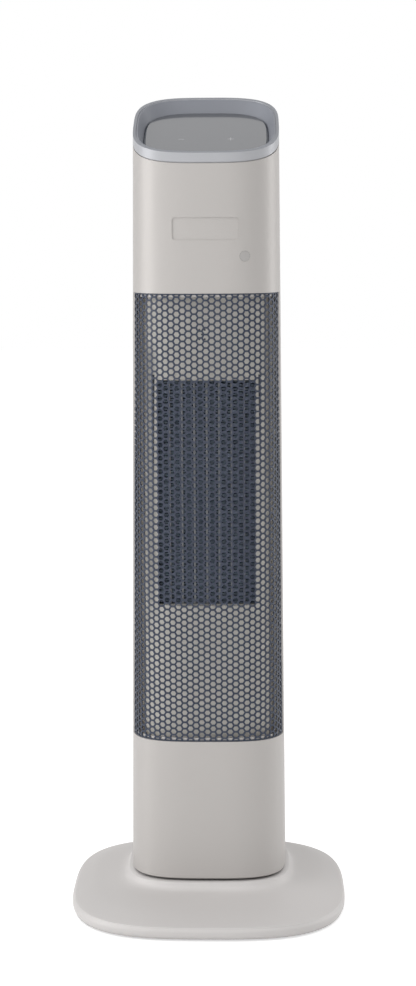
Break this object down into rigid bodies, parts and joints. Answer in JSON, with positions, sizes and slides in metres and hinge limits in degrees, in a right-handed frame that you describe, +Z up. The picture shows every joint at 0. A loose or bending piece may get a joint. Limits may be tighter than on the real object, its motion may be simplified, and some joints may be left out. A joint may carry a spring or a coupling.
{
  "type": "ceramic tower heater",
  "caption": "Slim upright fan heater with a hex-mesh front, ceramic heating block, slanted control top and an oscillating domed base.",
  "frame": {"origin": "middle of the base on the floor", "axes": "+Z up, -Y towards the front grille, +X to the viewer's right of the front"},
  "size_m": [0.2428, 0.2234, 0.7084],
  "materials": {
    "shell": "silver-grey paint, satin gloss",
    "base_underside": "matt",
    "rubber": "matt",
    "screws": "zinc plated",
    "ballast": "rough",
    "post": "satin",
    "switch_black": "satin",
    "plunger": "satin",
    "motor": "brushed",
    "mesh": "dark slate, satin",
    "duct": "warm beige, matt",
    "heater_frame": "matt",
    "ceramic": "ceramic",
    "fins": "bare",
    "thermostats": "plain",
    "blower": "matt",
    "bush": "matt",
    "dish": "satin grey",
    "panel": "high gloss",
    "board": "solder mask",
    "component_black": "matt",
    "window": "smooth"
  },
  "bodies": {
    "base": {"base_cover": "shell", "base_plate": "base_underside", "base_weight": "ballast", "rubber_feet": "rubber", "base_screws": "screws", "crank_track": "base_underside", "pivot_post": "post", "slide_ring": "base_underside", "retaining_ring": "base_underside", "tip_switch_body": "switch_black"},
    "tower": {"front_shell": "shell", "rear_shell": "shell", "top_ring": "shell", "tower_floor": "base_underside", "shell_screws": "screws", "board_screws": "screws", "bearing_holder": "screws", "motor_bracket": "screws", "power_switch_body": "switch_black", "cord_gland": "switch_black", "gland_nut": "switch_black", "drive_motor": "motor", "fan_motor": "motor", "mesh_grille": "mesh", "air_duct": "duct", "heater_frame": "heater_frame", "ceramic_strips": "ceramic", "heater_fins": "fins", "heater_terminals": "fins", "thermal_cutout": "thermostats", "thermostat": "thermostats", "blower_housing": "blower", "blower_cover": "blower", "filter_frame": "blower", "filter_screen": "blower", "bearing_bush": "bush", "control_dish": "dish", "control_panel": "panel", "control_board": "board", "power_board": "board", "buzzer": "component_black", "relays": "component_black", "capacitor": "component_black", "sensor_receiver": "component_black", "sensor_window": "window"},
    "crank": {"drive_crank": "post"},
    "tip_plunger": {"tip_switch_plunger": "plunger"},
    "fan": {"impeller": "blower", "fan_shaft": "screws"},
    "rocker": {"power_switch_rocker": "switch_black"}
  },
  "joints": [
    {"name": "oscillation", "type": "hinge", "parent": "base", "child": "tower", "pos_m": [0, 0.018, 0.028], "axis": [0, 0, 1], "range_deg": [-30, 30]},
    {"name": "crank_turn", "type": "hinge", "parent": "tower", "child": "crank", "pos_m": [-0.034, 0.018, 0.02], "axis": [0, 0, 1], "range_deg": [-90, 90]},
    {"name": "tip_plunger_slide", "type": "slide", "parent": "base", "child": "tip_plunger", "axis": [0, 0, -1], "range_m": [0, 0.0024], "stiffness_N_per_m": 60, "springref_m": 0.004},
    {"name": "fan_spin", "type": "hinge", "parent": "tower", "child": "fan", "pos_m": [0, 0.031, 0.37], "axis": [0, 0, 1], "continuous": true},
    {"name": "power_switch", "type": "hinge", "parent": "tower", "child": "rocker", "pos_m": [0, 0.0727, 0.096], "axis": [1, 0, 0], "range_deg": [0, 16]}
  ],
  "couplings": [
    {"joint": "crank_turn", "follows": "oscillation", "ratio": -3}
  ]
}
